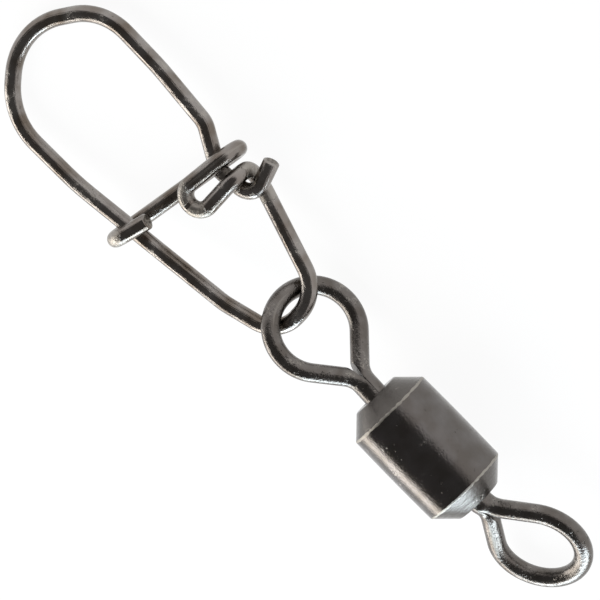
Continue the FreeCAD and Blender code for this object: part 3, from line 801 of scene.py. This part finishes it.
print(edge_group.name, len(edge_group.nodes), "nodes")

# %% Rubbed places on a wire
# Where a forming tool pressed, or one run of wire rubs on another, the plating is worn through for
# a short way along the wire. The edge of such a place is ragged.
RUB_CORE = 0.3
RUB_LIFT, RUB_DROP = 0.34, -0.2
RUB_FROM, RUB_FULL = 0.62, 0.74
rub_group, given, result = new_group(
    "rubbed_place", {"Place": None, "At": 0.0, "Reach": 0.8}, ["Mask"])
apart = add_node(rub_group, "SeparateXYZ", {0: given["Place"]})
past = work_out(rub_group, "SUBTRACT", apart.outputs[0], given["At"])
ragged = add_node(rub_group, "TexNoise", {
    "Vector": given["Place"], "Scale": 3.2, "Detail": 4.0, "Roughness": 0.7})
near = ramp_between(rub_group, work_out(rub_group, "ABSOLUTE", past),
                    work_out(rub_group, "MULTIPLY", given["Reach"], RUB_CORE), given["Reach"],
                    RUB_LIFT, RUB_DROP)
link_or_set(rub_group, result["Mask"], ramp_between(
    rub_group, work_out(rub_group, "ADD", near, ragged.outputs[0]), RUB_FROM, RUB_FULL))
print("node groups:", [group.name for group in bpy.data.node_groups])

# %% [markdown]
# ## The materials
# All three finishes are metals, so their colour is what they reflect. Black nickel reflects about
# an eighth of the light on the barrel and the eyes and up to a quarter on the snap, a little warm,
# and more at a glancing angle, which Principled does by itself for a metal. Roughness, colour and
# height come from the groups. The eyes are pressed and tumbled, so they are satin and pitted. The
# snap's wire keeps the lines of its drawing, and the barrel has the rings of its turning.

# %% One recipe for the three finishes
SHOULDER_TONE = (0.120, 0.111, 0.103, 1)
# Worn places get a lighter bare colour. Along the barrel's turned edge this colour is also a
# painted highlight.
WEAR_AND_HIGHLIGHT_TONE, WEAR_AND_HIGHLIGHT_SHARE, WORN_ROUGHER = (0.40, 0.375, 0.335, 1), 0.55, 0.24
PIT_TONE, PIT_TONE_SHARE, PIT_ROUGHER = (0.03, 0.026, 0.022, 1), 0.6, 0.2
SCRATCH_WEAR, EDGE_WEAR_AND_HIGHLIGHT = 0.5, 1.5
CREASES, CREASE_HEIGHT = {"Fineness": 0.9, "Length": 7.0}, 1.2
FLANK_RING_HEIGHT = 0.2         # against 1 on the shoulders


def black_nickel(name, place, dark, light, rough, lines, grain, marks, heights,
                 centre=(0, 0, 0), edge=None, rubs=()):
    """Metal whose tone, roughness and height follow the groups.

    place is "on_wire" for the straightened coordinates of a wire, or "object" for a turned piece.
    rough is (smooth, rough), heights are in millimetres for lines, grain and marks."""
    material = bpy.data.materials.new(name)
    material.use_nodes = True
    tree = material.node_tree
    shader = tree.nodes["Principled BSDF"]
    if place == "on_wire":
        read = add_node(tree, "Attribute", attribute_name="on_wire")
        where = read.outputs["Vector"]
    else:
        read = add_node(tree, "TexCoord")
        in_mm = add_node(tree, "VectorMath", {0: read.outputs["Object"], 3: 1 / MM},
                         operation="SCALE")
        middle = add_node(tree, "VectorMath", {0: in_mm.outputs[0], 1: centre},
                          operation="SUBTRACT")
        where = middle.outputs[0]

    def use(group, values):
        made = tree.nodes.new("ShaderNodeGroup")
        made.node_tree = group
        link_or_set(tree, made.inputs["Place"], where)
        for label, value in values.items():
            link_or_set(tree, made.inputs[label], value)
        return made.outputs

    drawn = use(lines_group, lines)
    grained = use(grain_group, grain)
    marked = use(marks_group, marks)

    tone = add_node(tree, "MixRGB", {
        "Fac": ramp_between(tree, marked["Tone"], 0.3, 0.7), "Color1": dark, "Color2": light})
    wear_and_edge_highlight = work_out(tree, "MAXIMUM", work_out(tree, "MULTIPLY", drawn["Scratch"], SCRATCH_WEAR),
                    marked["Mark"])
    line_height = drawn["Height"]
    if rubs:
        rubbed = 0.0
        for at, reach in rubs:
            rubbed = work_out(
                tree, "MAXIMUM", rubbed, use(rub_group, {"At": at, "Reach": reach})["Mask"])
        wear_and_edge_highlight = work_out(tree, "MAXIMUM", wear_and_edge_highlight, rubbed)
        # A tight bend also leaves creases across the wire, where the tool pressed it
        creases = use(lines_group, CREASES)["Height"]
        pressed = work_out(tree, "MULTIPLY", creases, ramp_between(tree, rubbed, 0.0, 1.0))
        line_height = work_out(
            tree, "ADD", line_height, work_out(tree, "MULTIPLY", pressed, CREASE_HEIGHT))
    if edge is not None:
        # Along the turned edge the colour is painted lighter: worn plating and a painted highlight
        # in one
        edged = use(edge_group, edge)
        wear_and_edge_highlight = work_out(tree, "MAXIMUM", marked["Mark"],
                        work_out(tree, "MULTIPLY", edged["Mask"], EDGE_WEAR_AND_HIGHLIGHT))
        line_height = work_out(tree, "MULTIPLY", drawn["Height"], ramp_between(
            tree, edged["Beyond"], 0.0, 1.0, FLANK_RING_HEIGHT, 1.0))
        tone = add_node(tree, "MixRGB", {
            "Fac": edged["Beyond"], "Color1": tone.outputs[0], "Color2": SHOULDER_TONE})
    bare_and_highlit = add_node(tree, "MixRGB", {
        "Fac": work_out(tree, "MULTIPLY", wear_and_edge_highlight, WEAR_AND_HIGHLIGHT_SHARE), "Color1": tone.outputs[0],
        "Color2": WEAR_AND_HIGHLIGHT_TONE})
    pitted = add_node(tree, "MixRGB", {
        "Fac": work_out(tree, "MULTIPLY", grained["Pit"], PIT_TONE_SHARE),
        "Color1": bare_and_highlit.outputs[0], "Color2": PIT_TONE})
    link_or_set(tree, shader.inputs["Base Color"], pitted.outputs[0])
    shader.inputs["Metallic"].default_value = 1.0

    spread = ramp_between(tree, drawn["Height"], 0.3, 0.7, rough[0], rough[1])
    rougher = work_out(tree, "ADD", work_out(tree, "MULTIPLY", grained["Pit"], PIT_ROUGHER),
                       work_out(tree, "MULTIPLY", wear_and_edge_highlight, WORN_ROUGHER))
    link_or_set(tree, shader.inputs["Roughness"],
                work_out(tree, "ADD", spread, rougher, clamp=True))

    normal = None
    for height, size in ((line_height, heights[0]), (grained["Height"], heights[1]),
                         (marked["Mark"], -heights[2])):
        bump = add_node(
            tree, "Bump", {"Height": height, "Distance": abs(size) * MM, "Strength": 1.0},
            invert=size < 0)
        if normal is not None:
            tree.links.new(normal, bump.inputs["Normal"])
        normal = bump.outputs["Normal"]
    tree.links.new(normal, shader.inputs["Normal"])
    return material


def dress(piece, material):
    """Give a piece one material all over."""
    piece.data.materials.clear()
    piece.data.materials.append(material)


# %% The finish of each piece
# Runs and bends of the snap, by number, that are rubbed in the middle, and for how far each way
SNAP_RUB_STEPS = [(29, 0.7), (31, 0.7), (2, 0.8), (39, 1.0), (26, 0.7), (23, 0.6)]


def reach_of(step_number):
    """Distance along the snap's wire to the middle of one of its runs or bends."""
    lengths = [step_length(step) for step in snap_steps]
    return sum(lengths[:step_number]) + lengths[step_number] / 2


snap_rubs = [(reach_of(number), reach) for number, reach in SNAP_RUB_STEPS]
snap_finish = black_nickel(
    "snap_black_nickel", "on_wire", dark=(0.155, 0.128, 0.105, 1), light=(0.29, 0.27, 0.255, 1),
    rough=(0.12, 0.22), lines={"Fineness": 5.0, "Length": 0.04},
    grain={"Grain": 10.0, "Pits": 5.0, "Pit share": 0.24}, marks={"Scale": 0.9, "Share": 0.57},
    heights=(0.026, 0.005, 0.006), rubs=snap_rubs)
eye_finish = black_nickel(
    "eye_black_nickel", "on_wire", dark=(0.12, 0.107, 0.096, 1), light=(0.165, 0.152, 0.142, 1),
    rough=(0.16, 0.26), lines={"Fineness": 5.0, "Length": 0.08},
    grain={"Grain": 9.0, "Pits": 6.0, "Pit share": 0.27}, marks={"Scale": 1.6, "Share": 0.6},
    heights=(0.012, 0.015, 0.006))
barrel_finish = black_nickel(
    "barrel_black_nickel", "object", dark=(0.118, 0.107, 0.098, 1), light=(0.150, 0.140, 0.135, 1),
    rough=(0.12, 0.20), lines={"Fineness": 1.2, "Length": 12.0},
    grain={"Grain": 11.0, "Pits": 6.0, "Pit share": 0.22}, marks={"Scale": 1.2, "Share": 0.62},
    heights=(0.018, 0.012, 0.004), centre=tuple(barrel_middle / MM),
    edge={"Edge at": half_flank, "Width": 0.07})
dress(snap, snap_finish)
dress(bpy.data.objects["snap_eye_wire"], eye_finish)
dress(bpy.data.objects["line_eye_wire"], eye_finish)
dress(barrel, barrel_finish)
print("rubbed places on the snap:", [round(at, 1) for at, _ in snap_rubs], "mm along it")

# %% Fresh cuts
# The cutter shears through the plating, so the two end faces of the snap's wire are bare and rough
TORN_GRAIN = 9.0 / MM
TORN_DARK, TORN_LIGHT = (0.07, 0.057, 0.048, 1), (0.26, 0.235, 0.20, 1)
TORN_ROUGH = 0.38
TORN_DEEP = 0.02 * MM
CUT_REACH = snap_radius * 0.8 * MM
CUT_FACING = 0.5
bare_cut = bpy.data.materials.new("fresh_cut")
bare_cut.use_nodes = True
tree = bare_cut.node_tree
torn = add_node(tree, "TexNoise", {"Vector": add_node(tree, "TexCoord").outputs["Object"],
                                   "Scale": TORN_GRAIN, "Detail": 3.0})
cut_look = tree.nodes["Principled BSDF"]
link_or_set(tree, cut_look.inputs["Base Color"], add_node(tree, "MixRGB", {
    "Fac": ramp_between(tree, torn.outputs[0], 0.35, 0.65), "Color1": TORN_DARK,
    "Color2": TORN_LIGHT}).outputs[0])
cut_look.inputs["Metallic"].default_value = 1.0
cut_look.inputs["Roughness"].default_value = TORN_ROUGH
link_or_set(tree, cut_look.inputs["Normal"], add_node(tree, "Bump", {
    "Height": torn.outputs[0], "Distance": TORN_DEEP}).outputs["Normal"])
snap.data.materials.append(bare_cut)
cut_faces = 0
snap_lies = in_metres @ snap_place
for middle, along in ((first[1], start_along), (last[2], end_along)):
    at = snap_lies @ middle
    facing = (snap_lies.to_3x3() @ along).normalized()
    for face in snap.data.polygons:
        if (face.center - at).length < CUT_REACH and abs(face.normal.dot(facing)) > CUT_FACING:
            face.material_index = 1
            cut_faces += 1
print("faces of the two cuts:", cut_faces)

# %% [markdown]
# ## Camera, floor and light
# The photograph looks down on the swivel from a little to one side, so that the layers of the lock
# show beside each other. Metal is only what it reflects, so the room is built by what each band on
# the barrel and the wires shows. The dark band is a dark ceiling and the grey ones are the white
# floor and backdrop, which black nickel dims. The bright streaks are two low lamps, one along the
# picture's lower left and a cool one at its lower right.

# %% Camera
LEAN = math.radians(25.4)
TURN = math.radians(45.5)
DISTANCE = 110.0
WIDTH_SEEN = 24.0
SENSOR = 36.0
NEAREST, FARTHEST = 0.005, 20.0
AIM_OFF = Vector((-7.776, 0.52, 0))     # from the barrel's middle to the picture's

looking = Matrix.Rotation(-LEAN, 4, "X") @ Matrix.Rotation(TURN, 4, "Z")
aim = barrel_middle + (Matrix.Rotation(-LEAN, 3, "X") @ AIM_OFF) * MM
lens_data = bpy.data.cameras.new("camera")
lens_data.sensor_width = SENSOR
lens_data.lens = SENSOR * DISTANCE / WIDTH_SEEN
lens_data.clip_start, lens_data.clip_end = NEAREST, FARTHEST
camera = bpy.data.objects.new("camera", lens_data)
bpy.context.scene.collection.objects.link(camera)
camera.matrix_world = Matrix.Translation(aim) @ looking @ Matrix.Translation((0, 0, DISTANCE * MM))
bpy.context.scene.camera = camera
print("camera at", [round(v / MM, 1) for v in camera.matrix_world.translation], "mm")

# %% Floor
# The camera and the metal see the same white sheet, with a little of its real light and shadow left
FLOOR_SIZE = 4.0
PAPER = (0.80, 0.80, 0.80, 1)
WHITE_SHARE = 0.94


def any_of(tree, *rays):
    """1 for a ray of any of these kinds, else 0."""
    path = add_node(tree, "LightPath")
    found = path.outputs[rays[0]]
    for ray in rays[1:]:
        found = work_out(tree, "MAXIMUM", found, path.outputs[ray])
    return found


bpy.ops.object.select_all(action="DESELECT")
bpy.ops.mesh.primitive_plane_add(size=FLOOR_SIZE, location=(0, 0, 0))
floor = bpy.context.object
floor.name = "floor"

paper = bpy.data.materials.new("white_paper")
paper.use_nodes = True
tree = paper.node_tree
tree.nodes.remove(tree.nodes["Principled BSDF"])
matt = add_node(tree, "BsdfDiffuse", {"Color": PAPER})
lit = add_node(tree, "Emission", {"Color": (1, 1, 1, 1), "Strength": 1.0})
seen = any_of(tree, "Is Camera Ray", "Is Glossy Ray", "Is Transmission Ray")
share = work_out(tree, "MULTIPLY", seen, WHITE_SHARE)
both = add_node(tree, "MixShader", {0: share, 1: matt.outputs[0], 2: lit.outputs[0]})
tree.links.new(both.outputs[0], tree.nodes["Material Output"].inputs["Surface"])
dress(floor, paper)
print("floor", FLOOR_SIZE, "m across")

# %% Room
# The backdrop all round the table is white to the camera and to metal alike. Over the table is the
# dark ceiling, a round patch that leans a little to one side, and metal shows that too.
CEILING = 0.13
CEILING_LEAN = math.radians(-14)
CEILING_HALF = math.radians(58)
CEILING_BLUR = 0.05
ROOM_LEVEL = 0.30       # of the light that the room sends to the paper
ROOM_COLOUR = (1, 0.985, 0.985, 1)
room = bpy.data.worlds.new("room")
bpy.context.scene.world = room
room.use_nodes = True
tree = room.node_tree
upwards = add_node(tree, "VectorMath", {
    0: add_node(tree, "TexCoord").outputs["Generated"],
    1: (0, math.sin(CEILING_LEAN), math.cos(CEILING_LEAN))}, operation="DOT_PRODUCT")
ceiling_rim = math.cos(CEILING_HALF)
white_wall = ramp_between(tree, upwards.outputs["Value"], ceiling_rim - CEILING_BLUR,
                          ceiling_rim + CEILING_BLUR, 1.0, CEILING)
mirrored = work_out(
    tree, "MULTIPLY", any_of(tree, "Is Glossy Ray", "Is Transmission Ray"), white_wall)
white = work_out(tree, "MAXIMUM", any_of(tree, "Is Camera Ray"), mirrored)
on_paper = work_out(tree, "MULTIPLY", any_of(tree, "Is Diffuse Ray"), ROOM_LEVEL)
backdrop = tree.nodes["Background"]
link_or_set(tree, backdrop.inputs["Strength"], work_out(tree, "MAXIMUM", white, on_paper))
backdrop.inputs["Color"].default_value = ROOM_COLOUR
print("dark ceiling over", round(math.degrees(2 * CEILING_HALF)), "degrees of the sky")


# %% Lamps
def soft_lamp(name, bearing, height, away, size, brightness, colour):
    """An area light on a stand: bearing in degrees from X towards Y, height in degrees.

    away and size are in millimetres. brightness is how bright its face looks, and paper's is 1."""
    width, tall = (side * MM for side in size)
    data = bpy.data.lights.new(name, "AREA")
    data.shape = "RECTANGLE"
    data.size, data.size_y = width, tall
    data.energy = brightness * math.pi * width * tall
    data.color = colour
    lamp = bpy.data.objects.new(name, data)
    bpy.context.scene.collection.objects.link(lamp)
    out, up = math.radians(bearing), math.radians(height)
    direction = Vector((math.cos(out) * math.cos(up), math.sin(out) * math.cos(up), math.sin(up)))
    lamp.location = barrel_middle + direction * away * MM
    lamp.rotation_euler = direction.to_track_quat("Z", "Y").to_euler()
    lamp.visible_camera = False
    return lamp


WARM, PLAIN, COOL = (1.0, 0.97, 0.91), (1.0, 0.985, 0.97), (0.74, 0.89, 1.0)
soft_lamp("low_left_light", -95, 9, 150, (240, 58), 5.0, WARM)
soft_lamp("low_right_light", -30, 4, 150, (170, 70), 13.0, COOL)
# Two lamps near the table light its paper, cast the shadows, and leave no reflection of their own
for name, bearing, height, away, size, brightness, colour in (
        ("key_light", -90, 34, 90, (110, 60), 8.0, PLAIN),
        ("window_light", -35, 26, 80, (60, 40), 10.0, COOL)):
    soft_lamp(name, bearing, height, away, size, brightness, colour).visible_glossy = False

# %% [markdown]
# ## Colours as they are
# The Standard view shows a colour as it is written, and the other view settings stay as they come.

# %% View transform
bpy.context.scene.view_settings.view_transform = "Standard"
